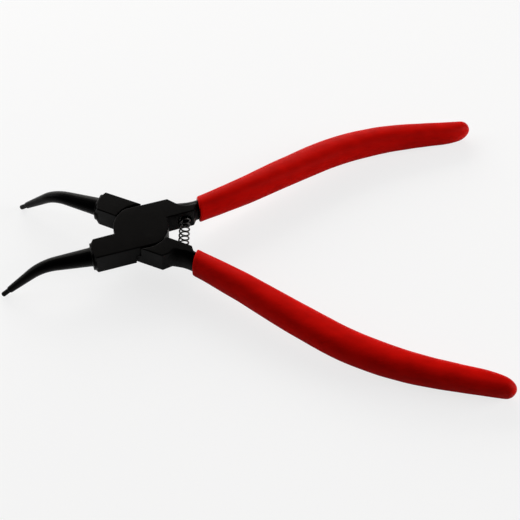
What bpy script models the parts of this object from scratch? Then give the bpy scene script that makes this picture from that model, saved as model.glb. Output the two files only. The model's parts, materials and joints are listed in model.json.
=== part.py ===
"""Bent-tip internal circlip pliers with a lap joint, an opening spring and dipped grips.

Units are metres and +Z is up, along the pivot. The origin is the centre of the rivet's lower face.
+X runs towards the handles. The top lever has its handle at +Y, the bottom lever at -Y.
Each lever is drawn closed, with the pliers' centreline along X, and is then turned open about the pivot.
"""
import math

import bmesh
import bpy
from mathutils import Matrix, Quaternion, Vector

# Pose and running clearances
OPEN_ANGLE = math.radians(21.5)     # each lever's turn from closed to where the spring holds it
LAP_GAP = 0.0003                    # between the two lap plates
SEAT_GAP = 0.0003                   # between pieces that touch
PIN_FIT = 0.00005                   # around a pressed tip pin

# Head, where the two levers overlap
HEAD_THICK = 0.0101
HEAD_HALF_WIDTH = 0.01105           # from the centreline to the outer flat, at the pivot
HEAD_TAPER = 0.0265                 # how fast the outer flats close in, per metre of length
HEAD_CHAMFER = 0.00025
BOSS_PROUD = 0.00045                # round edge of a lap plate, past the outer flats
BOSS_CLEARANCE = 0.0005             # from that edge to the other lever's blocks
JAW_INSET = 0.0004                  # inner jaw face to the centreline, closed
SHANK_INSET = 0.0008                # inner shank face to the centreline, closed

# Shank block, from the lap plate to the neck, which is hollowed on its outer side
SHOULDER_X = 0.01475                # where the outer flat ends and the hollow starts
HOLLOW_SLOPE = math.radians(50)     # how steeply it drops from the shoulder
HOLLOW_RADIUS = 0.0070
NECK_OUTER_Y = 0.0045               # outer side of its flat part, past which the tang's root is round
NECK_END_X = 0.0258
NECK_END_Y = 0.0036                 # inner corner of the neck's end
SHANK_END_X = 0.0236                # where the inner face ends and slants to that corner

# Round arm that carries the tip
ARM_ROOT_X = -0.02323
ARM_ROOT_Y = 0.00538
ARM_TOE_IN = math.radians(5.2)      # towards the centreline, before the bend
TIP_TOE_IN = math.radians(6.5)      # the same after the bend
TIP_BEND = math.radians(39.4)       # downwards
ARM_STRAIGHT = 0.01386              # root to the start of the bend
ARM_BEND_RADIUS = 0.01684
TIP_STRAIGHT = 0.01310              # end of the bend to the pin's shoulder
ARM_ROOT_RADIUS = 0.00395
ARM_BEND_MID_RADIUS = 0.00256
ARM_END_RADIUS = 0.00143
ARM_END_CHAMFER = 0.0003
ARM_EMBED = 0.0060                  # length of the arm sunk in the jaw block

# Shoulder turned on the front of the jaw block, as (distance past the arm's root, radius)
NOSE_PROFILE = [
    (-0.0003, 0.0041),
    (-0.0007, 0.0050),
    (-0.0022, 0.0073),
]

# Tip pin
PIN_RADIUS = 0.00105
PIN_LENGTH = 0.0040                 # that stands out of the arm
PIN_SEAT = 0.0030                   # depth of its hole
PIN_ROUNDING = 0.0005

# Pivot rivet, flush on both faces
RIVET_RADIUS = 0.0034
RIVET_HEAD_RADIUS = 0.0045
RIVET_HEAD_DEPTH = 0.0012

# Opening spring, bowed about the pivot between two drilled pockets
SPRING_ARM = 0.0180                 # pivot to the spring's centreline
SPRING_OUTER_RADIUS = 0.00238
SPRING_WIRE = 0.00072
SPRING_TURNS = 9.5
POCKET_DEPTH = 0.0033
POCKET_CLEARANCE = 0.0007           # around the coil

# Handle route and the tang's half width and half height, closed, as (x, y, width, height)
TANG_STATIONS = [
    (0.0145, 0.0052, 0.0040, 0.0050),
    (0.0185, 0.0047, 0.0034, 0.0050),
    (0.0225, 0.0044, 0.0029, 0.0049),
    (0.0272, 0.0048, 0.0030, 0.0043),
    (0.0484, 0.0083, 0.0037, 0.0044),
    (0.0730, 0.0135, 0.0047, 0.0039),
    (0.0972, 0.0176, 0.0049, 0.0040),
    (0.1198, 0.0176, 0.0042, 0.0042),
    (0.1411, 0.0143, 0.0034, 0.0036),
    (0.1626, 0.0096, 0.0027, 0.0029),
]
TANG_TIP_LENGTH = 0.0010            # tapered end of the tang
TANG_TIP_SCALE = 0.7                # size of its last section
TANG_SQUARENESS = 3.4               # exponent of the section, 2 is an ellipse

# Dipped grip
GRIP_MOUTH_X = 0.0268
GRIP_END_X = 0.1632
GRIP_END_WALL = 0.0072              # solid vinyl past the tang
GRIP_MOUTH_SLANT = 0.29             # lean of the mouth, which reaches further on the inner side
GRIP_SLANT_LENGTH = 0.0120          # length over which the lean dies out
GRIP_MOUTH_WALL = 0.0016
GRIP_WALL = 0.0018
GRIP_WALL_EASE = 0.0300             # length over which the wall thickens from the mouth
GRIP_SQUARENESS = 2.3
GRIP_LIP = 0.0004
GRIP_OUTER_CORNER = 0.0034          # rounding of the end on the outer side
GRIP_INNER_CORNER = 0.0150          # rounding of the end on the inner side
GRIP_END_CROWN = 0.0050             # rounding of the end seen from the side
GRIP_END_SEED = 0.0007              # half size of the last section, which closes the end

# Facets
ROUND_SIDES = 32
ARM_SIDES = 20
ARM_BEND_STEPS = 8
PIN_END_STEPS = 3
TANG_SIDES = 20
TANG_NECK_STEPS = 8
TANG_STEPS = 15                     # sections inside the grip
GRIP_STEPS = 18
GRIP_END_STEPS = 7
BOSS_STEPS = 14
HOLLOW_STEPS = 6
SPRING_TURN_STEPS = 14
SMOOTH_ANGLE = math.radians(35)     # faces that meet at less than this are shaded as one
GRIP_SMOOTH_ANGLE = math.radians(50)
MERGE_DISTANCE = 1e-7

HALF_THICK = HEAD_THICK / 2
BOSS_RADIUS = HEAD_HALF_WIDTH + BOSS_PROUD
POCKET_RADIUS = BOSS_RADIUS + BOSS_CLEARANCE
TANG_END_X = GRIP_END_X - GRIP_END_WALL
OVERSHOOT = 0.001                   # how far a cutter reaches past what it cuts
UP = Vector((0, 0, 1))


def clear_scene():
    for obj in list(bpy.data.objects):
        bpy.data.objects.remove(obj, do_unlink=True)


def make_material(name, colour, roughness, metallic):
    material = bpy.data.materials.new(name)
    material.use_nodes = True
    shader = material.node_tree.nodes["Principled BSDF"]
    shader.inputs["Base Color"].default_value = (*colour, 1)
    shader.inputs["Roughness"].default_value = roughness
    shader.inputs["Metallic"].default_value = metallic
    return material


def add_object(name, data, material=None, parent=None):
    obj = bpy.data.objects.new(name, data)
    bpy.context.collection.objects.link(obj)
    if material:
        data.materials.append(material)
    obj.parent = parent
    return obj


def mesh_object(name, bm, material=None, parent=None, smooth_angle=SMOOTH_ANGLE):
    bmesh.ops.recalc_face_normals(bm, faces=bm.faces)
    mesh = bpy.data.meshes.new(name)
    bm.to_mesh(mesh)
    bm.free()
    mesh.shade_smooth()
    mesh.set_sharp_from_angle(angle=smooth_angle)
    return add_object(name, mesh, material, parent)


def combine(target, tool, operation):
    """Adds the tool to the target, or cuts it out, and hides the tool as a guide."""
    tool.hide_render = True
    tool.display_type = "WIRE"
    modifier = target.modifiers.new(tool.name, "BOOLEAN")
    modifier.operation = operation
    modifier.solver = "EXACT"
    modifier.object = tool


def loft(rings):
    """A closed body through rings of equally many points, with a flat cap on each end."""
    bm = bmesh.new()
    rows = [[bm.verts.new(point) for point in ring] for ring in rings]
    for row, following in zip(rows, rows[1:]):
        for i in range(len(row)):
            j = (i + 1) % len(row)
            bm.faces.new((row[i], row[j], following[j], following[i]))
    bm.faces.new(reversed(rows[0]))
    bm.faces.new(rows[-1])
    return bm


def turned(profile, origin, axis, sides):
    """A solid of revolution: the profile holds (distance along the axis, radius) pairs, end to end."""
    bm = bmesh.new()
    across = axis.orthogonal().normalized()
    verts = [bm.verts.new(origin + axis * along + across * radius) for along, radius in profile]
    edges = [bm.edges.new(pair) for pair in zip(verts, verts[1:])]
    if profile[0][1] > 0:
        edges.append(bm.edges.new((verts[-1], verts[0])))
    bmesh.ops.spin(bm, geom=verts + edges, cent=origin, axis=axis, angle=2 * math.pi,
                   steps=sides, use_merge=True)
    bmesh.ops.remove_doubles(bm, verts=bm.verts, dist=MERGE_DISTANCE)
    return bm


def arc(radius, start, end, steps):
    return [(radius * math.cos(start + (end - start) * i / steps),
             radius * math.sin(start + (end - start) * i / steps)) for i in range(steps + 1)]


def spaced(start, end, steps):
    return [start + (end - start) * i / steps for i in range(steps + 1)]


def flat_y(x):
    """Distance of the head's outer flat from the centreline."""
    return HEAD_HALF_WIDTH - HEAD_TAPER * abs(x)


def flat_meets_boss():
    """X where the outer flat reaches the round edge of the lap plate."""
    a = 1 + HEAD_TAPER ** 2
    b = HEAD_HALF_WIDTH * HEAD_TAPER
    return (b + math.sqrt(b ** 2 - a * (HEAD_HALF_WIDTH ** 2 - BOSS_RADIUS ** 2))) / a


def hollow_outline():
    """The round hollow, from where it leaves the neck to where the straight drop from the shoulder starts."""
    drop_length = (flat_y(SHOULDER_X) - NECK_OUTER_Y) / math.tan(HOLLOW_SLOPE)
    centre_x = SHOULDER_X + drop_length + HOLLOW_RADIUS * math.tan(HOLLOW_SLOPE / 2)
    centre_y = NECK_OUTER_Y + HOLLOW_RADIUS
    return [(centre_x + x, centre_y + y)
            for x, y in arc(HOLLOW_RADIUS, -math.pi / 2, -math.pi / 2 - HOLLOW_SLOPE, HOLLOW_STEPS)]


def head_outline():
    """Outline of the top lever's head, closed, anticlockwise from the front of the jaw block."""
    front = ARM_ROOT_X - NOSE_PROFILE[0][0] - OVERSHOOT
    boss_x = flat_meets_boss()
    boss_angle = math.atan2(flat_y(boss_x), boss_x)
    outline = [(front, -flat_y(front))]
    outline += arc(BOSS_RADIUS, -boss_angle, math.asin(SHANK_INSET / BOSS_RADIUS), BOSS_STEPS)
    outline += [(SHANK_END_X, SHANK_INSET), (NECK_END_X, NECK_END_Y), (NECK_END_X, NECK_OUTER_Y)]
    outline += hollow_outline() + [(SHOULDER_X, flat_y(SHOULDER_X))]
    outline += arc(BOSS_RADIUS, math.pi - boss_angle,
                   math.pi + math.asin(JAW_INSET / BOSS_RADIUS), BOSS_STEPS)
    outline += [(front, -JAW_INSET)]
    return outline


def head_block(side):
    """Both blocks and the lap plate in one thickness, with chamfered rims."""
    bm = bmesh.new()
    base = [bm.verts.new((x, side * y, -HALF_THICK)) for x, y in head_outline()]
    face = bm.faces.new(base)
    lifted = bmesh.ops.extrude_face_region(bm, geom=[face])["geom"]
    bmesh.ops.translate(bm, verts=[v for v in lifted if isinstance(v, bmesh.types.BMVert)],
                        vec=UP * HEAD_THICK)
    rims = [e for e in bm.edges if abs(e.verts[0].co.z - e.verts[1].co.z) < HEAD_THICK / 2]
    bmesh.ops.bevel(bm, geom=rims, offset=HEAD_CHAMFER, segments=1, profile=0.5, affect="EDGES")
    return bm


def lap_cutter(side):
    """Clears the half thickness in which the other lever's lap plate turns."""
    reach = HALF_THICK + OVERSHOOT + LAP_GAP / 2
    profile = [(0, 0), (0, POCKET_RADIUS), (reach, POCKET_RADIUS), (reach, 0)]
    return turned(profile, UP * (side * LAP_GAP / 2), UP * -side, 2 * ROUND_SIDES)


def arm_frame(side):
    """Root, direction, direction after the bend, and the bend's axis."""
    root = Vector((ARM_ROOT_X, -side * ARM_ROOT_Y, 0))
    straight = Vector((-math.cos(ARM_TOE_IN), side * math.sin(ARM_TOE_IN), 0))
    level = Vector((-math.cos(TIP_TOE_IN), side * math.sin(TIP_TOE_IN), 0))
    bent = level * math.cos(TIP_BEND) - UP * math.sin(TIP_BEND)
    return root, straight, bent, straight.cross(bent).normalized()


def arm_point(side, distance):
    """Centre and direction of the arm at a distance from its root."""
    root, straight, bent, axis = arm_frame(side)
    bend_angle = straight.angle(bent)
    bend_length = ARM_BEND_RADIUS * bend_angle
    if distance <= ARM_STRAIGHT:
        return root + straight * distance, straight
    start = root + straight * ARM_STRAIGHT
    turn_centre = start + axis.cross(straight) * ARM_BEND_RADIUS
    angle = min((distance - ARM_STRAIGHT) / ARM_BEND_RADIUS, bend_angle)
    turn = Quaternion(axis, angle)
    centre = turn_centre + turn @ (start - turn_centre)
    direction = turn @ straight
    beyond = max(0, distance - ARM_STRAIGHT - bend_length)
    return centre + direction * beyond, direction


def arm_length(side):
    _, straight, bent, _ = arm_frame(side)
    return ARM_STRAIGHT + ARM_BEND_RADIUS * straight.angle(bent) + TIP_STRAIGHT


def arm_radius(side, distance):
    middle = (ARM_STRAIGHT + arm_length(side) - TIP_STRAIGHT) / 2
    if distance < middle:
        return ARM_ROOT_RADIUS + (ARM_BEND_MID_RADIUS - ARM_ROOT_RADIUS) * distance / middle
    share = (distance - middle) / (arm_length(side) - middle)
    return ARM_BEND_MID_RADIUS + (ARM_END_RADIUS - ARM_BEND_MID_RADIUS) * share


def arm_ring(side, distance, radius):
    """A ring square to the arm; every ring starts from the bend's axis, so none is twisted."""
    centre, direction = arm_point(side, distance)
    axis = arm_frame(side)[3]
    across = direction.cross(axis)
    angles = [2 * math.pi * i / ARM_SIDES for i in range(ARM_SIDES)]
    return [centre + (axis * math.cos(a) + across * math.sin(a)) * radius for a in angles]


def arm_body(side):
    length = arm_length(side)
    bend_end = length - TIP_STRAIGHT
    stops = [-ARM_EMBED, ARM_STRAIGHT / 2] + spaced(ARM_STRAIGHT, bend_end, ARM_BEND_STEPS)
    stops += [(bend_end + length) / 2, length - ARM_END_CHAMFER]
    rings = [arm_ring(side, stop, arm_radius(side, stop)) for stop in stops]
    rings.append(arm_ring(side, length, ARM_END_RADIUS - ARM_END_CHAMFER / 2))
    return loft(rings)


def nose_cutter(side):
    """The turning tool's path: it leaves a shoulder round the arm on the front of the jaw block."""
    root, straight, _, _ = arm_frame(side)
    front, outer = NOSE_PROFILE[0][0], 2 * HEAD_THICK
    profile = [(front, 0)] + NOSE_PROFILE + [(NOSE_PROFILE[-1][0], outer)]
    profile += [(front + 3 * OVERSHOOT, outer), (front + 3 * OVERSHOOT, 0)]
    return turned(profile, root, straight, ROUND_SIDES)


def pin_rings(side, gap, start, stops):
    """Rings of the pin or of its hole, from (distance past the arm's end, radius) pairs."""
    length = arm_length(side)
    rings = [arm_ring(side, length - start, PIN_RADIUS + gap)]
    rings += [arm_ring(side, length + past, radius + gap) for past, radius in stops]
    return rings


def pin_body(side):
    rounded = arc(PIN_ROUNDING, 0, math.pi / 2, PIN_END_STEPS)
    stops = [(PIN_LENGTH - PIN_ROUNDING + past, PIN_RADIUS - PIN_ROUNDING + radius)
             for radius, past in rounded]
    return loft(pin_rings(side, 0, PIN_SEAT - PIN_FIT, stops))


def pin_hole(side):
    return loft(pin_rings(side, PIN_FIT, PIN_SEAT, [(OVERSHOOT, PIN_RADIUS)]))


def blend_stations(x):
    """Handle centre, half width and half height at x, on a smooth curve through the stations."""
    last = len(TANG_STATIONS) - 2
    i = max(k for k in range(last + 1) if TANG_STATIONS[k][0] <= x or k == 0)
    before, here = TANG_STATIONS[max(i - 1, 0)], TANG_STATIONS[i]
    there, after = TANG_STATIONS[i + 1], TANG_STATIONS[min(i + 2, last + 1)]
    span = there[0] - here[0]
    t = (x - here[0]) / span
    values = []
    for k in (1, 2, 3):
        slope_here = (there[k] - before[k]) / (there[0] - before[0]) * span
        slope_there = (after[k] - here[k]) / (after[0] - here[0]) * span
        values.append((2 * t ** 3 - 3 * t ** 2 + 1) * here[k] + (t ** 3 - 2 * t ** 2 + t) * slope_here
                      + (3 * t ** 2 - 2 * t ** 3) * there[k] + (t ** 3 - t ** 2) * slope_there)
    return values


def handle_frame(side, x):
    """Centre of the handle at x, its direction, and the direction away from the other handle."""
    step = 0.0005
    rise = blend_stations(x + step)[0] - blend_stations(x - step)[0]
    along = Vector((2 * step, side * rise, 0)).normalized()
    centre = Vector((x, side * blend_stations(x)[0], 0))
    return centre, along, Vector((-along.y * side, along.x * side, 0))


def oval(centre, sideways, half_width, half_height, squareness):
    """A section square to the handle, between an ellipse and a rounded rectangle."""
    points = []
    for i in range(TANG_SIDES):
        angle = 2 * math.pi * (i + 0.5) / TANG_SIDES
        c, s = math.cos(angle), math.sin(angle)
        u = math.copysign(abs(c) ** (2 / squareness), c)
        v = math.copysign(abs(s) ** (2 / squareness), s)
        points.append(centre + sideways * (half_width * u) + UP * (half_height * v))
    return points


def leaned(side, x, ring):
    """Leans a section of the grip with the mouth, less and less further down the handle."""
    centre, along, sideways = handle_frame(side, x)
    lean = GRIP_MOUTH_SLANT * max(0, 1 - (x - GRIP_MOUTH_X) / GRIP_SLANT_LENGTH)
    return [point + along * (lean * (point - centre).dot(sideways)) for point in ring]


def tang_ring(side, x, margin=0.0, scale=1.0):
    centre, _, sideways = handle_frame(side, x)
    _, width, height = blend_stations(x)
    return oval(centre, sideways, (width + margin) * scale, (height + margin) * scale,
                TANG_SQUARENESS)


def tang_body(side):
    stops = spaced(TANG_STATIONS[0][0], GRIP_MOUTH_X, TANG_NECK_STEPS)
    stops += spaced(GRIP_MOUTH_X, TANG_END_X, TANG_STEPS)[1:]
    rings = [tang_ring(side, x) for x in stops]
    rings.append(tang_ring(side, TANG_END_X + TANG_TIP_LENGTH, scale=TANG_TIP_SCALE))
    return loft(rings)


def grip_wall(x):
    ease = min(1.0, (x - GRIP_MOUTH_X) / GRIP_WALL_EASE)
    return GRIP_MOUTH_WALL + (GRIP_WALL - GRIP_MOUTH_WALL) * ease * (2 - ease)


def corner(distance, radius, drop):
    """How far a rounded corner has come in at a distance short of the end."""
    if distance >= radius:
        return 0.0
    return drop * (1 - math.sqrt(1 - (1 - distance / radius) ** 2))


def grip_ring(side, x):
    """Outer section of the grip; towards the end each edge follows its own rounding."""
    centre, _, sideways = handle_frame(side, x)
    _, width, height = blend_stations(min(x, TANG_STATIONS[-1][0]))
    width += grip_wall(x)
    height += grip_wall(x)
    short = GRIP_END_X - x
    outer = width - corner(short, GRIP_OUTER_CORNER, GRIP_OUTER_CORNER)
    inner = -width + corner(short, GRIP_INNER_CORNER, 2 * width - GRIP_OUTER_CORNER)
    height -= corner(short, GRIP_END_CROWN, height)
    middle = centre + sideways * ((outer + inner) / 2)
    section = oval(middle, sideways, max((outer - inner) / 2, GRIP_END_SEED),
                   max(height, GRIP_END_SEED), GRIP_SQUARENESS)
    return leaned(side, x, section)


def grip_body(side):
    """A dipped sleeve: a blind inner wall out to the mouth, over the lip, and back along the outside."""
    inner = [tang_ring(side, TANG_END_X + TANG_TIP_LENGTH + SEAT_GAP, SEAT_GAP, TANG_TIP_SCALE)]
    inner += [leaned(side, x, tang_ring(side, x, SEAT_GAP))
              for x in reversed(spaced(GRIP_MOUTH_X, TANG_END_X, TANG_STEPS))]
    end_x = GRIP_END_X - GRIP_INNER_CORNER
    body = [grip_ring(side, x) for x in spaced(GRIP_MOUTH_X + GRIP_LIP, end_x, GRIP_STEPS)]
    end = [grip_ring(side, end_x + past)
           for _, past in arc(GRIP_INNER_CORNER, 0, math.pi / 2, GRIP_END_STEPS)[1:]]
    centre, _, sideways = handle_frame(side, GRIP_MOUTH_X)
    _, width, height = blend_stations(GRIP_MOUTH_X)
    lip = oval(centre, sideways, width + GRIP_MOUTH_WALL - GRIP_LIP,
               height + GRIP_MOUTH_WALL - GRIP_LIP, GRIP_SQUARENESS)
    return loft(inner + [leaned(side, GRIP_MOUTH_X, lip)] + body + end)


def rivet_profile(gap, overshoot):
    head = RIVET_HEAD_RADIUS + gap
    shank = RIVET_RADIUS + gap
    top = HALF_THICK + overshoot
    neck = HALF_THICK - RIVET_HEAD_DEPTH
    return [(-top, 0), (-top, head), (-HALF_THICK, head), (-neck, shank),
            (neck, shank), (HALF_THICK, head), (top, head), (top, 0)]


def rivet_body():
    profile = rivet_profile(0, 0)
    return turned([p for i, p in enumerate(profile) if p not in profile[:i]],
                  Vector((0, 0, 0)), UP, ROUND_SIDES)


def rivet_bore():
    return turned(rivet_profile(SEAT_GAP, OVERSHOOT), Vector((0, 0, 0)), UP, ROUND_SIDES)


def pocket_angles():
    """Turns from the closed centreline to the pocket's mouth and to its floor, about the pivot."""
    mouth = math.asin(SHANK_INSET / SPRING_ARM)
    return mouth, mouth + POCKET_DEPTH / SPRING_ARM


def pocket_cutter(side):
    """Drill for the spring's seat, in line with the bowed spring halfway down the hole."""
    mouth, floor = pocket_angles()
    middle = (mouth + floor) / 2
    centre = Vector((math.cos(middle), side * math.sin(middle), 0)) * SPRING_ARM
    inwards = Vector((-math.sin(middle), side * math.cos(middle), 0))
    radius = SPRING_OUTER_RADIUS + POCKET_CLEARANCE
    reach = POCKET_DEPTH / 2
    profile = [(-reach - 2 * OVERSHOOT, 0), (-reach - 2 * OVERSHOOT, radius), (reach, radius), (reach, 0)]
    return turned(profile, centre, inwards, ROUND_SIDES)


def spring_curve():
    """A coil round an arc about the pivot, from one pocket's floor to the other's."""
    coil_radius = SPRING_OUTER_RADIUS - SPRING_WIRE / 2
    end = OPEN_ANGLE + pocket_angles()[1] - (SEAT_GAP + SPRING_WIRE / 2) / SPRING_ARM
    steps = round(SPRING_TURNS * SPRING_TURN_STEPS)
    curve = bpy.data.curves.new("return_spring", "CURVE")
    curve.dimensions = "3D"
    curve.bevel_depth = SPRING_WIRE / 2
    curve.bevel_resolution = 2
    curve.use_fill_caps = True
    spline = curve.splines.new("POLY")
    spline.points.add(steps)
    for i, point in enumerate(spline.points):
        turn = 2 * math.pi * i / SPRING_TURN_STEPS
        angle = end - 2 * end * i / steps
        outwards = Vector((math.cos(angle), math.sin(angle), 0))
        place = outwards * (SPRING_ARM + coil_radius * math.cos(turn)) + UP * (coil_radius * math.sin(turn))
        point.co = (*place, 1)
    return curve


def build_lever(name, side, steel, pin_steel, grip_red):
    """One lever with its pin and grip; side is 1 for the top lever and -1 for the bottom one."""
    lever = mesh_object(name, head_block(side), steel)
    tools = [
        ("lap_cutter", lap_cutter, "DIFFERENCE"),
        ("nose_cutter", nose_cutter, "DIFFERENCE"),
        ("arm_guide", arm_body, "UNION"),
        ("tang_guide", tang_body, "UNION"),
        ("spring_pocket_cutter", pocket_cutter, "DIFFERENCE"),
        ("pin_hole_cutter", pin_hole, "DIFFERENCE"),
    ]
    for tool_name, shape, operation in tools:
        tool = mesh_object(f"{name}_{tool_name}", shape(side), steel, lever)
        combine(lever, tool, operation)
    suffix = name.split("_")[-1]
    mesh_object(f"tip_pin_{suffix}", pin_body(side), pin_steel, lever)
    mesh_object(f"grip_{suffix}", grip_body(side), grip_red, lever, GRIP_SMOOTH_ANGLE)
    lever.location.z = HALF_THICK
    lever.rotation_euler.z = side * OPEN_ANGLE
    return lever


def build():
    clear_scene()
    steel = make_material("black_steel", (0.012, 0.012, 0.013), 0.42, 0.6)
    pin_steel = make_material("pin_steel", (0.014, 0.014, 0.015), 0.38, 0.6)
    spring_steel = make_material("spring_steel", (0.03, 0.03, 0.032), 0.3, 0.9)
    rivet_steel = make_material("rivet_steel", (0.014, 0.014, 0.015), 0.4, 0.6)
    grip_red = make_material("grip_red", (0.55, 0.008, 0.006), 0.38, 0.0)

    levers = [build_lever("lever_top", 1, steel, pin_steel, grip_red),
              build_lever("lever_bottom", -1, steel, pin_steel, grip_red)]
    rivet = mesh_object("pivot_rivet", rivet_body(), rivet_steel)
    rivet.location.z = HALF_THICK
    bore = mesh_object("rivet_bore_cutter", rivet_bore(), steel)
    bore.location.z = HALF_THICK
    for lever in levers:
        combine(lever, bore, "DIFFERENCE")
    spring = add_object("return_spring", spring_curve(), spring_steel)
    spring.location.z = HALF_THICK


build()
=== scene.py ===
"""Looks for the circlip pliers: eased steel levers, dipped vinyl grips and a coiled opening spring.

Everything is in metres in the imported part's frame: origin under the pivot, +X towards the handles,
+Y towards the top lever's handle, +Z along the pivot. The levers and grips are drawn closed, with
the pivot's middle at the origin, and then opened; side is 1 for the top lever and -1 for the bottom.
"""
import json
import math

import bmesh
import bpy
import numpy as np
from mathutils import Matrix, Quaternion, Vector, noise

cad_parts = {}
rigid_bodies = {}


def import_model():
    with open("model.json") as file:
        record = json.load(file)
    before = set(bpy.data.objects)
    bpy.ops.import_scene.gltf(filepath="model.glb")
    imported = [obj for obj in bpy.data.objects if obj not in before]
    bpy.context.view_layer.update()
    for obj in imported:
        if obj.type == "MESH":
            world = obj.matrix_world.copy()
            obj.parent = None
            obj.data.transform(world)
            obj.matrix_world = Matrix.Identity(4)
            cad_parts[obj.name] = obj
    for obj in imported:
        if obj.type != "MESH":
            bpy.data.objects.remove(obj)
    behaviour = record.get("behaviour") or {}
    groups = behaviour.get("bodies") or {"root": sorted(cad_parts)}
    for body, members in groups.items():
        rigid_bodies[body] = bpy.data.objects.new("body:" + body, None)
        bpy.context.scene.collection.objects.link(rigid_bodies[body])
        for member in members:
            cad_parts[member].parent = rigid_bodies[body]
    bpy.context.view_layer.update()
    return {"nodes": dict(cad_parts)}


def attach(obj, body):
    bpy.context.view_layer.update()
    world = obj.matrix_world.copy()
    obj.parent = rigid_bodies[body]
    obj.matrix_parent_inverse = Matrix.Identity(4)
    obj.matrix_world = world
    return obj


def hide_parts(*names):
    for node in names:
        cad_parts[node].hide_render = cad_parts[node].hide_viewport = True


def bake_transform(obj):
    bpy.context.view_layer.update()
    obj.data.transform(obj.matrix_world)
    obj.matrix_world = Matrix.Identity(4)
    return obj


for leftover in list(bpy.data.objects):
    bpy.data.objects.remove(leftover)

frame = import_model()

UP = Vector((0, 0, 1))
QUARTER_TURN = math.pi / 2
OPEN_ANGLE = math.radians(21.5)             # of each lever, from closed to the rest pose
HEAD_THICK = 0.0101

# Size of the even faces that the CAD solids are cut into, and rounds of easing over them all
LEVER_VOXEL = 0.00016
LEVER_ROUNDS = 1
PIN_VOXEL = 0.00012
PIN_ROUNDS = 2
SPOT_REACH = 1.5                            # radii of a soft spot at which its easing has died out
KEPT_FACES = 0.25                           # share kept after the edges are eased

# Where the arm leaves the jaw block of the top lever
ARM_ROOT = Vector((-0.0232, -0.0054, 0))
ARM_TOE_IN = math.radians(5.2)

# More rounds of easing where the forging is rounder: (x, y, radius, rounds) on the top lever
SOFT_SPOTS = [
    (ARM_ROOT.x, ARM_ROOT.y, 0.0060, 12),   # the arm's root
    (0.0262, 0.0046, 0.0050, 40),           # the end of the neck, in front of the grip
    (0.0200, 0.0080, 0.0045, 20),           # the hollow between the shank block and the neck
]

# Collar turned on the front of the jaw block, and ground flat with the block
COLLAR_RADIUS = 0.0056
COLLAR_START = 0.0003                       # behind the arm's root
COLLAR_END = 0.0018
COLLAR_HALF_HEIGHT = 0.0049
COLLAR_CLEAR = 0.00005                      # from the middle, where the two collars meet when closed
COLLAR_SIDES = 96

# Rivet that fills its seat and is ground flush
RIVET_SEAT_RADIUS = 0.0048
RIVET_RIM = 0.0003                          # width and depth of its feathered rim
RIVET_PROUD = 0.000005
RIVET_SIDES = 96
RIVET_SHARP = math.radians(30)              # edges over this angle are shaded sharp

# Opening spring: straight between the pockets, turning into line with them at its ends
SPRING_X = 0.0179
SPRING_STRAIGHT = 0.0062                    # half length before it turns
SPRING_HALF_LENGTH = 0.0108
SPRING_RADIUS = 0.00204                     # to the middle of the wire
SPRING_WIRE = 0.00070                       # thickness
SPRING_TURNS = 9.1
SPRING_PHASE = -0.28                        # turns, at the top pocket
SPRING_TURN_STEPS = 40
SPRING_WIRE_SIDES = 10

# Spring pocket, drilled where the straight spring enters it
POCKET_X = 0.0180
POCKET_RADIUS = 0.0031
POCKET_FLOOR_Y = 0.0042
POCKET_SHIFT = 0.0012
POCKET_EASE = 0.0024                        # width over which the shift dies out

# Scoop on one edge of the neck, where its section is rounder than the tang's
SCOOP_START = 0.0165
SCOOP_END = 0.0275
SCOOP_EASE = 0.0030
SCOOP_SQUARENESS = 1.6                      # exponent of the section, 2 is an ellipse
TANG_SQUARENESS = 3.4
TINY = 1e-9                                 # keeps a division from meeting zero

# The handle as the solids have it: (x, y, half width, half height of the tang)
HANDLE_STATIONS = np.array([
    (0.0145, 0.0052, 0.0040, 0.0050),
    (0.0185, 0.0047, 0.0034, 0.0050),
    (0.0225, 0.0044, 0.0029, 0.0049),
    (0.0272, 0.0048, 0.0030, 0.0043),
    (0.0484, 0.0083, 0.0037, 0.0044),
    (0.0730, 0.0135, 0.0047, 0.0039),
    (0.0972, 0.0176, 0.0049, 0.0040),
    (0.1198, 0.0176, 0.0042, 0.0042),
    (0.1411, 0.0143, 0.0034, 0.0036),
    (0.1626, 0.0096, 0.0027, 0.0029),
])
SLOPE_STEP = 0.0005                         # either way, to take the handle's direction

# Grip: its ends, wall and section
GRIP_MOUTH_X = 0.0268
GRIP_END_X = 0.1632
GRIP_MOUTH_SLANT = 0.29                     # lean of the mouth, which reaches further on the inner side
GRIP_SLANT_LENGTH = 0.0120                  # length over which the lean dies out
GRIP_MOUTH_WALL = 0.0016
GRIP_WALL = 0.0018
GRIP_WALL_EASE = 0.0300                     # length over which the wall thickens from the mouth
GRIP_SQUARENESS = 2.3
GRIP_OUTER_CORNER = 0.0034                  # rounding of the end on the outer side
GRIP_INNER_CORNER = 0.0150                  # rounding of the end on the inner side
GRIP_END_CROWN = 0.0050                     # rounding of the end seen from the side
GRIP_END_SEED = 0.0002                      # half size of the last section

# Grip: the dipped mouth, with places measured from its edge
GRIP_LINING = 0.0040                        # how far the inner surface is drawn
GRIP_LINING_GAP = 0.00002                   # from the tang to that surface, at the mouth
GRIP_INNER_LIP = 0.0003                     # rounding of the edge against the tang
GRIP_INNER_LIP_START = math.radians(20)     # of its quarter turn, after the point at zero
GRIP_INNER_LIP_STEPS = 5
GRIP_LIP_RADIUS = 0.0005                    # rounding of the outer edge
GRIP_LIP_STEPS = 9
GRIP_BEAD = 0.00005                         # swelling behind the mouth, where the vinyl gathered
GRIP_BEAD_AT = 0.0013
GRIP_BEAD_WIDTH = 0.0005
GRIP_BEAD_END = 0.0032
GRIP_BEAD_STEP = 0.0002
GRIP_BODY_START = 0.0036                    # where the evenly spaced sections begin

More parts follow.
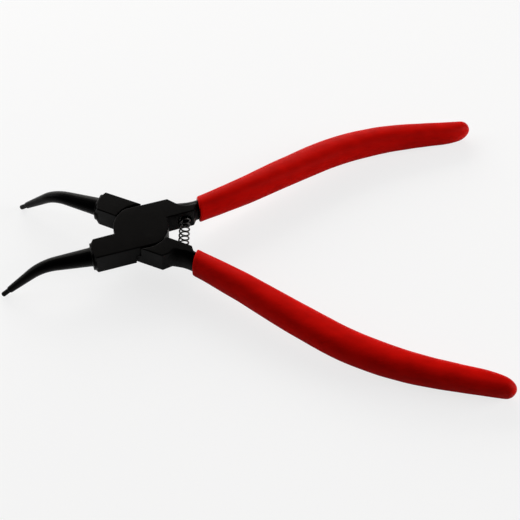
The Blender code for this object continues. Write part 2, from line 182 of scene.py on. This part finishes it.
# Grip: the waves that dipping leaves, and the fineness of the whole surface
GRIP_UNEVEN = 0.00009                       # height of the waves
GRIP_UNEVEN_START = 0.0040                  # behind the mouth, where they have their full height
GRIP_WAVE = Vector((130, 210, 210))         # waves in a metre
GRIP_SIDES = 96
GRIP_STEPS = 150
GRIP_END_STEPS = 26


# Meshes

def add_object(name, data):
    obj = bpy.data.objects.new(name, data)
    bpy.context.scene.collection.objects.link(obj)
    return obj


def add_mesh(name, verts, faces, smooth=True):
    mesh = bpy.data.meshes.new(name)
    mesh.from_pydata([tuple(v) for v in verts], [], faces)
    if smooth:
        mesh.shade_smooth()
    return add_object(name, mesh)


def around(count):
    """Angles of as many points, evenly round a circle."""
    return np.linspace(0, 2 * math.pi, count, endpoint=False)


def skin(rings):
    """Vertices and faces of a closed tube through rings of equally many points."""
    count = len(rings[0])
    verts = [p for ring in rings for p in ring]
    faces = []
    for r in range(len(rings) - 1):
        for i in range(count):
            j = (i + 1) % count
            faces.append((r * count + i, r * count + j, (r + 1) * count + j, (r + 1) * count + i))
    faces.append(tuple(reversed(range(count))))
    faces.append(tuple(range((len(rings) - 1) * count, len(rings) * count)))
    return verts, faces


def apply_modifiers(obj):
    """Keeps what the modifiers make as the object's own mesh."""
    evaluated = obj.evaluated_get(bpy.context.evaluated_depsgraph_get())
    mesh = bpy.data.meshes.new_from_object(evaluated)
    obj.modifiers.clear()
    obj.data = mesh


def fine_copy(name, node, voxel, added=None):
    """A CAD node, joined with the vertices and faces added to it, and cut into fine even faces."""
    bm = bmesh.new()
    bm.from_mesh(frame["nodes"][node].data)
    if added:
        verts, faces = added
        verts = [bm.verts.new(v) for v in verts]
        for face in faces:
            bm.faces.new([verts[i] for i in face])
    obj = add_object(name, bpy.data.meshes.new(name))
    bm.to_mesh(obj.data)
    bm.free()
    modifier = obj.modifiers.new("remesh", "REMESH")
    modifier.mode = "VOXEL"
    modifier.voxel_size = voxel
    apply_modifiers(obj)
    return obj


def points_of(mesh):
    co = np.empty(len(mesh.vertices) * 3)
    mesh.vertices.foreach_get("co", co)
    return co.reshape(-1, 3)


def set_points(mesh, co):
    mesh.vertices.foreach_set("co", co.ravel())
    mesh.update()


def ease(mesh, rounds, soft_spots=()):
    """Moves each point half way to the mean of its neighbours, as many times as there are rounds.

    A soft spot is (centre, radius, rounds), and its easing is full out to half its radius.
    """
    co = points_of(mesh)
    pairs = np.empty(len(mesh.edges) * 2, dtype=np.int32)
    mesh.edges.foreach_get("vertices", pairs)
    a, b = pairs.reshape(-1, 2).T
    here, there = np.concatenate([a, b]), np.concatenate([b, a])
    degree = np.bincount(here, minlength=len(co))
    weight = np.full(len(co), float(rounds))
    for centre, radius, more in soft_spots:
        away = np.linalg.norm(co - np.array(centre), axis=1) / radius
        weight = np.maximum(weight, more * np.clip(SPOT_REACH - away, 0, 1))
    for step in range(math.ceil(weight.max())):
        mean = np.stack([np.bincount(here, co[there, k], len(co)) / degree for k in range(3)], axis=1)
        co += (mean - co) * 0.5 * np.clip(weight - step, 0, 1)[:, None]
    set_points(mesh, co)


def thin_out(obj):
    modifier = obj.modifiers.new("thin out", "DECIMATE")
    modifier.ratio = KEPT_FACES
    apply_modifiers(obj)
    obj.data.shade_smooth()


# Values of the materials

MOTTLE_SCALE = 260                          # clouds in a metre
MOTTLE_ENDS = (0.3, 0.7)                    # of the noise, where the dark and the light colour are full

STEEL_SPECULAR = 0.025
STEEL_GRAIN_SCALE = 2600
STEEL_RELIEF = (0.15, 0.0001)               # strength and depth

VINYL_DARK = (0.45, 0.0024, 0.0010)
VINYL_LIGHT = (0.55, 0.0032, 0.0014)
VINYL_STRETCH = (0.6, 1, 1)                 # makes the clouds longer along the handles
VINYL_SPECULAR = 0.02
VINYL_GRAIN_SCALE = 700
VINYL_ROUGH = (0.42, 0.52)                  # from the lowest to the highest grain
VINYL_RELIEF = (0.12, 0.0002)


# Nodes of the materials

def shader_of(name):
    material = bpy.data.materials.new(name)
    material.use_nodes = True
    return material, material.node_tree, material.node_tree.nodes["Principled BSDF"]


def feed(tree, value, socket):
    """Sets a socket to a number, or links another node's output to it."""
    if isinstance(value, bpy.types.NodeSocket):
        tree.links.new(value, socket)
    else:
        socket.default_value = value


def cloudy(tree, scale, detail, stretch=(1, 1, 1)):
    """Noise that stays with the object."""
    coords = tree.nodes.new("ShaderNodeTexCoord")
    mapping = tree.nodes.new("ShaderNodeMapping")
    mapping.inputs["Scale"].default_value = stretch
    texture = tree.nodes.new("ShaderNodeTexNoise")
    texture.inputs["Scale"].default_value = scale
    texture.inputs["Detail"].default_value = detail
    tree.links.new(coords.outputs["Object"], mapping.inputs["Vector"])
    tree.links.new(mapping.outputs["Vector"], texture.inputs["Vector"])
    return texture.outputs["Fac"]


def to_range(tree, value, low, high, start=0, end=1):
    """Turns start..end into low..high, and stays there beyond."""
    node = tree.nodes.new("ShaderNodeMapRange")
    feed(tree, value, node.inputs["Value"])
    feed(tree, start, node.inputs["From Min"])
    feed(tree, end, node.inputs["From Max"])
    feed(tree, low, node.inputs["To Min"])
    feed(tree, high, node.inputs["To Max"])
    return node.outputs["Result"]


def calculate(tree, operation, first, second, clamp=False):
    node = tree.nodes.new("ShaderNodeMath")
    node.operation = operation
    node.use_clamp = clamp
    feed(tree, first, node.inputs[0])
    feed(tree, second, node.inputs[1])
    return node.outputs["Value"]


def mottle(tree, shader, clouds, dark, light):
    """A colour that drifts between a dark and a light one."""
    node = tree.nodes.new("ShaderNodeValToRGB")
    for element, place, colour in zip(node.color_ramp.elements, MOTTLE_ENDS, (dark, light)):
        element.position = place
        element.color = (*colour, 1)
    tree.links.new(clouds, node.inputs["Fac"])
    tree.links.new(node.outputs["Color"], shader.inputs["Base Color"])


def roughen(tree, shader, grain, rough, strength, depth):
    """Roughness and a shallow relief that follow the same grain."""
    tree.links.new(to_range(tree, grain, *rough), shader.inputs["Roughness"])
    node = tree.nodes.new("ShaderNodeBump")
    node.inputs["Strength"].default_value = strength
    node.inputs["Distance"].default_value = depth
    tree.links.new(grain, node.inputs["Height"])
    tree.links.new(node.outputs["Normal"], shader.inputs["Normal"])


# Materials

def black_steel(name, dark, light, rough, metallic):
    material, tree, shader = shader_of(name)
    shader.inputs["Metallic"].default_value = metallic
    shader.inputs["Specular IOR Level"].default_value = STEEL_SPECULAR
    mottle(tree, shader, cloudy(tree, MOTTLE_SCALE, detail=4), dark, light)
    roughen(tree, shader, cloudy(tree, STEEL_GRAIN_SCALE, detail=2), rough, *STEEL_RELIEF)
    return material


def vinyl(name):
    material, tree, shader = shader_of(name)
    shader.inputs["Specular IOR Level"].default_value = VINYL_SPECULAR
    clouds = cloudy(tree, MOTTLE_SCALE, detail=2, stretch=VINYL_STRETCH)
    mottle(tree, shader, clouds, VINYL_DARK, VINYL_LIGHT)
    roughen(tree, shader, cloudy(tree, VINYL_GRAIN_SCALE, detail=3), VINYL_ROUGH, *VINYL_RELIEF)
    return material


STEEL = black_steel("black_oxide", dark=(0.0014, 0.0012, 0.0011), light=(0.0020, 0.0018, 0.0017),
                    rough=(0.34, 0.44), metallic=0.4)
PIN = black_steel("pin_steel", dark=(0.0035, 0.0035, 0.0035), light=(0.0050, 0.0050, 0.0050),
                  rough=(0.38, 0.50), metallic=0.5)
WIRE = black_steel("spring_wire", dark=(0.035, 0.034, 0.033), light=(0.055, 0.053, 0.052),
                   rough=(0.25, 0.35), metallic=1.0)
RED = vinyl("red_vinyl")


def dress(obj, material):
    obj.data.materials.clear()
    obj.data.materials.append(material)
    return obj


# Levers and pins

def opened(side):
    """From a lever's closed drawing to its place in the rest pose."""
    return Matrix.Translation(UP * HEAD_THICK / 2) @ Matrix.Rotation(side * OPEN_ANGLE, 4, "Z")


def smooth_step(value, start, end):
    share = np.clip((value - start) / (end - start), 0, 1)
    return share * share * (3 - 2 * share)


def collar(side):
    """The collar on the front of the jaw block, as a short closed tube of two rings."""
    along = Vector((math.cos(ARM_TOE_IN), -side * math.sin(ARM_TOE_IN), 0))
    across = Vector((-along.y, along.x, 0))
    root = Vector((ARM_ROOT.x, side * ARM_ROOT.y, 0))
    place = opened(side)
    rings = []
    for distance in (COLLAR_START, COLLAR_END):
        centre = root + along * distance
        ring = []
        for angle in around(COLLAR_SIDES):
            height = COLLAR_RADIUS * math.sin(angle)
            height = max(-COLLAR_HALF_HEIGHT, min(COLLAR_HALF_HEIGHT, height))
            point = centre + across * COLLAR_RADIUS * math.cos(angle) + UP * height
            point.y = side * min(side * point.y, -COLLAR_CLEAR)
            ring.append(place @ point)
        rings.append(ring)
    return skin(rings)


def shift_pocket(x, y, z):
    """New x of the points, with the spring's pocket moved outwards along the handle."""
    away = np.hypot(x - POCKET_X, z)
    near = 1 - smooth_step(away, POCKET_RADIUS, POCKET_RADIUS + POCKET_EASE)
    near *= 1 - smooth_step(y, POCKET_FLOOR_Y, POCKET_FLOOR_Y + POCKET_EASE)
    return x + POCKET_SHIFT * near * (x > 0)


def scoop_neck(side, x, y, z):
    """New y and z of the points, with one outer edge of the neck drawn in to a rounder section."""
    middle, width, height = [np.interp(x, HANDLE_STATIONS[:, 0], HANDLE_STATIONS[:, k]) for k in (1, 2, 3)]
    u = np.clip((y - middle) / width, 0, None)
    v = np.clip(-side * z / height, 0, None)
    n, m = TANG_SQUARENESS, SCOOP_SQUARENESS
    square = (u ** n + v ** n) ** (1 / n)
    rounder = np.maximum((u ** m + v ** m) ** (1 / m), TINY)
    share = smooth_step(x, SCOOP_START, SCOOP_START + SCOOP_EASE)
    share *= 1 - smooth_step(x, SCOOP_END, SCOOP_END + SCOOP_EASE)
    share *= (u > 0) & (v > 0)
    scale = 1 + (square / rounder - 1) * share
    return np.where(u > 0, middle + (y - middle) * scale, y), np.where(v > 0, z * scale, z)


def reshape_lever(mesh, side):
    """Moves the points of an opened lever, worked out closed and with the handle at +Y."""
    co = points_of(mesh)
    turn = side * OPEN_ANGLE
    c, s = math.cos(turn), math.sin(turn)
    x = co[:, 0] * c + co[:, 1] * s
    y = (co[:, 1] * c - co[:, 0] * s) * side
    z = co[:, 2] - HEAD_THICK / 2
    x = shift_pocket(x, y, z)
    y, z = scoop_neck(side, x, y, z)
    y *= side
    co[:, 0] = x * c - y * s
    co[:, 1] = x * s + y * c
    co[:, 2] = z + HEAD_THICK / 2
    set_points(mesh, co)


def lever_mesh(name, node, side):
    lever = fine_copy(name, node, LEVER_VOXEL, collar(side))
    reshape_lever(lever.data, side)
    place = opened(side)
    spots = [(place @ Vector((x, side * y, 0)), radius, rounds) for x, y, radius, rounds in SOFT_SPOTS]
    ease(lever.data, LEVER_ROUNDS, spots)
    thin_out(lever)
    return lever


def pin_mesh(name, node):
    pin = fine_copy(name, node, PIN_VOXEL)
    ease(pin.data, PIN_ROUNDS)
    thin_out(pin)
    return pin


# Grips

def handle_at(x):
    """Handle centre, half width and half height at x, on a smooth curve through the stations."""
    last = len(HANDLE_STATIONS) - 1
    i = int(np.clip(np.searchsorted(HANDLE_STATIONS[:, 0], x, side="right") - 1, 0, last - 1))
    before, here = HANDLE_STATIONS[max(i - 1, 0)], HANDLE_STATIONS[i]
    there, after = HANDLE_STATIONS[i + 1], HANDLE_STATIONS[min(i + 2, last)]
    span = there[0] - here[0]
    t = (x - here[0]) / span
    slope_here = (there - before) / (there[0] - before[0]) * span
    slope_there = (after - here) / (after[0] - here[0]) * span
    value = ((2 * t ** 3 - 3 * t ** 2 + 1) * here + (t ** 3 - 2 * t ** 2 + t) * slope_here
             + (3 * t ** 2 - 2 * t ** 3) * there + (t ** 3 - t ** 2) * slope_there)
    return value[1:]


def grip_wall(x):
    ease_in = min(1.0, (x - GRIP_MOUTH_X) / GRIP_WALL_EASE)
    return GRIP_MOUTH_WALL + (GRIP_WALL - GRIP_MOUTH_WALL) * ease_in * (2 - ease_in)


def rounding(distance, radius, drop):
    """How far a rounded corner has come in at a distance short of the end."""
    if distance >= radius:
        return 0.0
    return drop * (1 - math.sqrt(max(0.0, 1 - (1 - distance / radius) ** 2)))


def grip_ring(side, x, inset):
    """A section of the grip, square to the handle and leaned with the mouth near it.

    Its points run the other way round on the bottom grip, so that the faces look outwards on both.
    """
    rise = handle_at(x + SLOPE_STEP)[0] - handle_at(x - SLOPE_STEP)[0]
    along = Vector((2 * SLOPE_STEP, side * rise, 0)).normalized()
    sideways = Vector((-along.y * side, along.x * side, 0))
    _, width, height = handle_at(min(x, HANDLE_STATIONS[-1, 0]))
    width += grip_wall(x) - inset
    height += grip_wall(x) - inset
    short = GRIP_END_X - x
    outer = width - rounding(short, GRIP_OUTER_CORNER, GRIP_OUTER_CORNER)
    inner = -width + rounding(short, GRIP_INNER_CORNER, 2 * width - GRIP_OUTER_CORNER)
    height = max(height - rounding(short, GRIP_END_CROWN, height), GRIP_END_SEED)
    half = max((outer - inner) / 2, GRIP_END_SEED)
    middle = Vector((x, side * handle_at(x)[0], 0)) + sideways * ((outer + inner) / 2)
    lean = GRIP_MOUTH_SLANT * max(0, 1 - (x - GRIP_MOUTH_X) / GRIP_SLANT_LENGTH)
    uneven = smooth_step(x - GRIP_MOUTH_X, GRIP_LIP_RADIUS, GRIP_UNEVEN_START)
    ring = []
    for i in range(GRIP_SIDES):
        angle = side * 2 * math.pi * (i + 0.5) / GRIP_SIDES
        c, s = math.cos(angle), math.sin(angle)
        u = half * math.copysign(abs(c) ** (2 / GRIP_SQUARENESS), c)
        v = height * math.copysign(abs(s) ** (2 / GRIP_SQUARENESS), s)
        shift = lean * (u + (outer + inner) / 2)
        point = middle + sideways * u + UP * v + along * shift
        wave = noise.noise(Vector(a * b for a, b in zip(point, GRIP_WAVE)))
        out = (sideways * u + UP * v).normalized()
        ring.append(point + out * wave * GRIP_UNEVEN * uneven)
    return ring


def grip_profile():
    """(x behind the mouth, depth under the outer surface) from inside, round the lip, to the end."""
    lining = GRIP_MOUTH_WALL - GRIP_LINING_GAP
    stops = [(past, lining) for past in (GRIP_LINING, GRIP_LINING / 2, GRIP_INNER_LIP)]
    stops += [(GRIP_INNER_LIP * (1 - math.sin(a)), lining - GRIP_INNER_LIP * (1 - math.cos(a)))
              for a in np.linspace(GRIP_INNER_LIP_START, QUARTER_TURN, GRIP_INNER_LIP_STEPS)]
    stops += [(GRIP_LIP_RADIUS * (1 - math.cos(a)), GRIP_LIP_RADIUS * (1 - math.sin(a)))
              for a in np.linspace(0, QUARTER_TURN, GRIP_LIP_STEPS)]
    stops += [(past, -GRIP_BEAD * math.exp(-((past - GRIP_BEAD_AT) / GRIP_BEAD_WIDTH) ** 2))
              for past in np.arange(GRIP_LIP_RADIUS + GRIP_BEAD_STEP, GRIP_BEAD_END, GRIP_BEAD_STEP)]
    body_end = GRIP_END_X - GRIP_INNER_CORNER - GRIP_MOUTH_X
    stops += [(past, 0.0) for past in np.linspace(GRIP_BODY_START, body_end, GRIP_STEPS)]
    stops += [(GRIP_END_X - GRIP_INNER_CORNER * (1 - math.sin(a)) - GRIP_MOUTH_X, 0.0)
              for a in np.linspace(0, QUARTER_TURN, GRIP_END_STEPS)[1:]]
    return stops


def grip_mesh(name, side):
    """A dipped sleeve with a blind end, closed where its lining stops inside."""
    place = opened(side)
    rings = [grip_ring(side, GRIP_MOUTH_X + past, inset) for past, inset in grip_profile()]
    return add_mesh(name, *skin([[place @ p for p in ring] for ring in rings]))


# Spring and rivet

def spring_core(share):
    """Middle of the coil and its outward direction, from the top pocket (0) to the bottom one (1)."""
    place = SPRING_HALF_LENGTH * (1 - 2 * share)
    turned = max(0.0, abs(place) - SPRING_STRAIGHT)
    radius = (SPRING_HALF_LENGTH - SPRING_STRAIGHT) / OPEN_ANGLE
    angle = turned / radius
    x = SPRING_X - radius * (1 - math.cos(angle))
    y = min(abs(place), SPRING_STRAIGHT) + radius * math.sin(angle)
    side = math.copysign(1, place)
    return (Vector((x, side * y, HEAD_THICK / 2)),
            Vector((math.cos(angle), side * math.sin(angle), 0)))


def spring_mesh(name):
    steps = round(SPRING_TURNS * SPRING_TURN_STEPS)
    cores, path = [], []
    for i in range(steps + 1):
        turn = 2 * math.pi * (i / SPRING_TURN_STEPS + SPRING_PHASE)
        core, outwards = spring_core(i / steps)
        cores.append(core)
        path.append(core + (outwards * math.cos(turn) + UP * math.sin(turn)) * SPRING_RADIUS)
    rings = []
    for i, point in enumerate(path):
        ahead = (path[min(i + 1, steps)] - path[max(i - 1, 0)]).normalized()
        away = (point - cores[i]).normalized()
        across = ahead.cross(away).normalized()
        away = across.cross(ahead)
        rings.append([point + (away * math.cos(a) + across * math.sin(a)) * SPRING_WIRE / 2
                      for a in around(SPRING_WIRE_SIDES)])
    return add_mesh(name, *skin(rings))


def rivet_mesh(name):
    """Fills its seat, with a feathered rim that is ground flush with both faces."""
    rim_radius = RIVET_SEAT_RADIUS + RIVET_RIM
    profile = [(-RIVET_PROUD, rim_radius), (RIVET_RIM, RIVET_SEAT_RADIUS),
               (HEAD_THICK - RIVET_RIM, RIVET_SEAT_RADIUS), (HEAD_THICK + RIVET_PROUD, rim_radius)]
    rings = [[Vector((radius * math.cos(a), radius * math.sin(a), z)) for a in around(RIVET_SIDES)]
             for z, radius in profile]
    rivet = add_mesh(name, *skin(rings))
    rivet.data.set_sharp_from_angle(angle=RIVET_SHARP)
    return rivet


# Pieces

for side, end, body in ((1, "top", "top_lever"), (-1, "bottom", "bottom_lever")):
    lever = dress(lever_mesh(f"{end}_lever_steel", f"lever_{end}", side), STEEL)
    pin = dress(pin_mesh(f"{end}_tip_pin", f"tip_pin_{end}"), PIN)
    grip = dress(grip_mesh(f"{end}_grip_vinyl", side), RED)
    for piece, node, slot in ((lever, f"lever_{end}", "black_steel"), (pin, f"tip_pin_{end}", "pin_steel"),
                              (grip, f"grip_{end}", "grip_red")):
        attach(piece, body)
        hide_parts(node)

rivet = dress(rivet_mesh("flush_rivet"), STEEL)
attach(rivet, "top_lever")
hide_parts("pivot_rivet")

spring = dress(spring_mesh("coil_spring"), WIRE)
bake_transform(spring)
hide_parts("return_spring")


# Stage: the camera stands where the photo was taken from

CAMERA_PLACE = Vector((0.033766, -0.244807, 0.311734))
CAMERA_HEADING = math.radians(3.9616)
CAMERA_TILT = math.radians(52.7101)         # downwards
CAMERA_ROLL = math.radians(5.2753)
FOCAL_PIXELS = 929.856
PHOTO_PIXELS = 520                          # width of the square picture
SENSOR_WIDTH = 36                           # millimetres

# The pliers lie on the bent tips and on the grips, so the ground leans with them
GROUND_AT = Vector((-0.0552, 0.0, -0.0103))
GROUND_LEAN = math.radians(3.02)
FLOOR_REACH = 3.0

# The camera sees the paper by its own glow, with a shadow that fades out between near and far
PAPER_NEAR = 0.2                            # from the paper's middle
PAPER_FAR = 0.6
PAPER_GLOW = (0.76, 0.91)                   # for the camera, near and far
PAPER_SEEN_SHADE = (0.2, 0)                 # for the camera, near and far
PAPER_SHADE = 0.8                           # for every other ray
PAPER_ROUGHNESS = 0.9

# In mirrored rays the paper glows too, as a painted reflection of lit paper, with painted shade from
# ambient occlusion where something stands within reach of it
MIRROR_REACH = 0.04
MIRROR_GLOW = (-1.2, 1.3)                   # covered and open; what is under 0 stays dark, as painted shade
MIRROR_SAMPLES = 8

# Strength of the world as a light, and as the camera sees it
WORLD_LIGHT = 0.03
WORLD_SEEN = 0.92

# The point that all lamps face, and how far they stand from it
LIGHT_TARGET = Vector((0.045, 0, 0))
LIGHT_DISTANCE = 1.2


def make_camera():
    data = bpy.data.cameras.new("camera")
    data.sensor_width = SENSOR_WIDTH
    data.lens = FOCAL_PIXELS / PHOTO_PIXELS * data.sensor_width
    data.clip_start = 0.01
    data.clip_end = 20
    obj = add_object("camera", data)
    ahead = Vector((math.sin(CAMERA_HEADING) * math.cos(CAMERA_TILT),
                    math.cos(CAMERA_HEADING) * math.cos(CAMERA_TILT), -math.sin(CAMERA_TILT)))
    obj.rotation_mode = "QUATERNION"
    obj.rotation_quaternion = (-ahead).to_track_quat("Z", "Y") @ Quaternion((0, 0, 1), CAMERA_ROLL)
    obj.location = CAMERA_PLACE
    bpy.context.scene.camera = obj


def soft_box(name, azimuth, elevation, size, power, colour):
    """A lamp that faces the pliers; azimuth 0 is behind them and 90 is beside the handles."""
    data = bpy.data.lights.new(name, "AREA")
    data.shape = "RECTANGLE"
    data.size, data.size_y = size
    data.energy = power
    data.color = colour
    obj = add_object(name, data)
    turn, lift = math.radians(azimuth), math.radians(elevation)
    towards = Vector((math.sin(turn) * math.cos(lift), math.cos(turn) * math.cos(lift), math.sin(lift)))
    obj.location = LIGHT_TARGET + towards * LIGHT_DISTANCE
    obj.rotation_mode = "QUATERNION"
    obj.rotation_quaternion = towards.to_track_quat("Z", "Y")


def paper_distance(tree):
    """0 near the middle of the paper and 1 far from it."""
    coords = tree.nodes.new("ShaderNodeTexCoord")
    length = tree.nodes.new("ShaderNodeVectorMath")
    length.operation = "LENGTH"
    tree.links.new(coords.outputs["Object"], length.inputs[0])
    return to_range(tree, length.outputs["Value"], 0, 1, PAPER_NEAR, PAPER_FAR)


# Painted shade: ambient occlusion darkens the paper's painted glow in mirrored rays, under and near the
# pliers
def mirror_glow(tree):
    openness = tree.nodes.new("ShaderNodeAmbientOcclusion")
    openness.samples = MIRROR_SAMPLES
    openness.inputs["Distance"].default_value = MIRROR_REACH
    return to_range(tree, openness.outputs["AO"], *MIRROR_GLOW)


def paper(name):
    material, tree, shader = shader_of(name)
    shader.inputs["Roughness"].default_value = PAPER_ROUGHNESS
    shader.inputs["Specular IOR Level"].default_value = 0
    rays = tree.nodes.new("ShaderNodeLightPath").outputs
    far = paper_distance(tree)
    shade = to_range(tree, rays["Is Camera Ray"], PAPER_SHADE, to_range(tree, far, *PAPER_SEEN_SHADE))
    tree.links.new(shade, shader.inputs["Base Color"])
    seen = calculate(tree, "MULTIPLY", to_range(tree, far, *PAPER_GLOW), rays["Is Camera Ray"])
    # Painted reflection: the paper glows in glossy rays only, with painted shade where something covers it
    mirrored = calculate(tree, "MULTIPLY", mirror_glow(tree), rays["Is Glossy Ray"], clamp=True)
    shader.inputs["Emission Color"].default_value = (1, 1, 1, 1)
    tree.links.new(calculate(tree, "ADD", seen, mirrored), shader.inputs["Emission Strength"])
    return material


def make_floor():
    lean = Matrix.Rotation(-GROUND_LEAN, 4, "Y")
    corners = [GROUND_AT + lean @ Vector((x * FLOOR_REACH, y * FLOOR_REACH, 0))
               for x, y in ((-1, -1), (1, -1), (1, 1), (-1, 1))]
    floor = add_mesh("floor", corners, [(0, 1, 2, 3)], smooth=False)
    dress(floor, paper("paper"))


def make_world():
    """Pale for the camera, and nearly dark as a light."""
    world = bpy.data.worlds.new("studio")
    bpy.context.scene.world = world
    world.use_nodes = True
    tree = world.node_tree
    rays = tree.nodes.new("ShaderNodeLightPath").outputs
    background = tree.nodes["Background"]
    background.inputs["Color"].default_value = (1, 1, 1, 1)
    strength = to_range(tree, rays["Is Camera Ray"], WORLD_LIGHT, WORLD_SEEN)
    tree.links.new(strength, background.inputs["Strength"])


make_camera()
make_floor()
make_world()
soft_box("back_box", azimuth=-20, elevation=22, size=(1.4, 0.7), power=18, colour=(1.0, 0.97, 0.93))
soft_box("left_box", azimuth=-76, elevation=22, size=(0.7, 0.7), power=6.5, colour=(0.95, 0.98, 1.0))
soft_box("right_box", azimuth=90, elevation=22, size=(0.7, 0.7), power=11.5, colour=(1.0, 1.0, 1.0))
bpy.context.scene.view_settings.view_transform = "Standard"
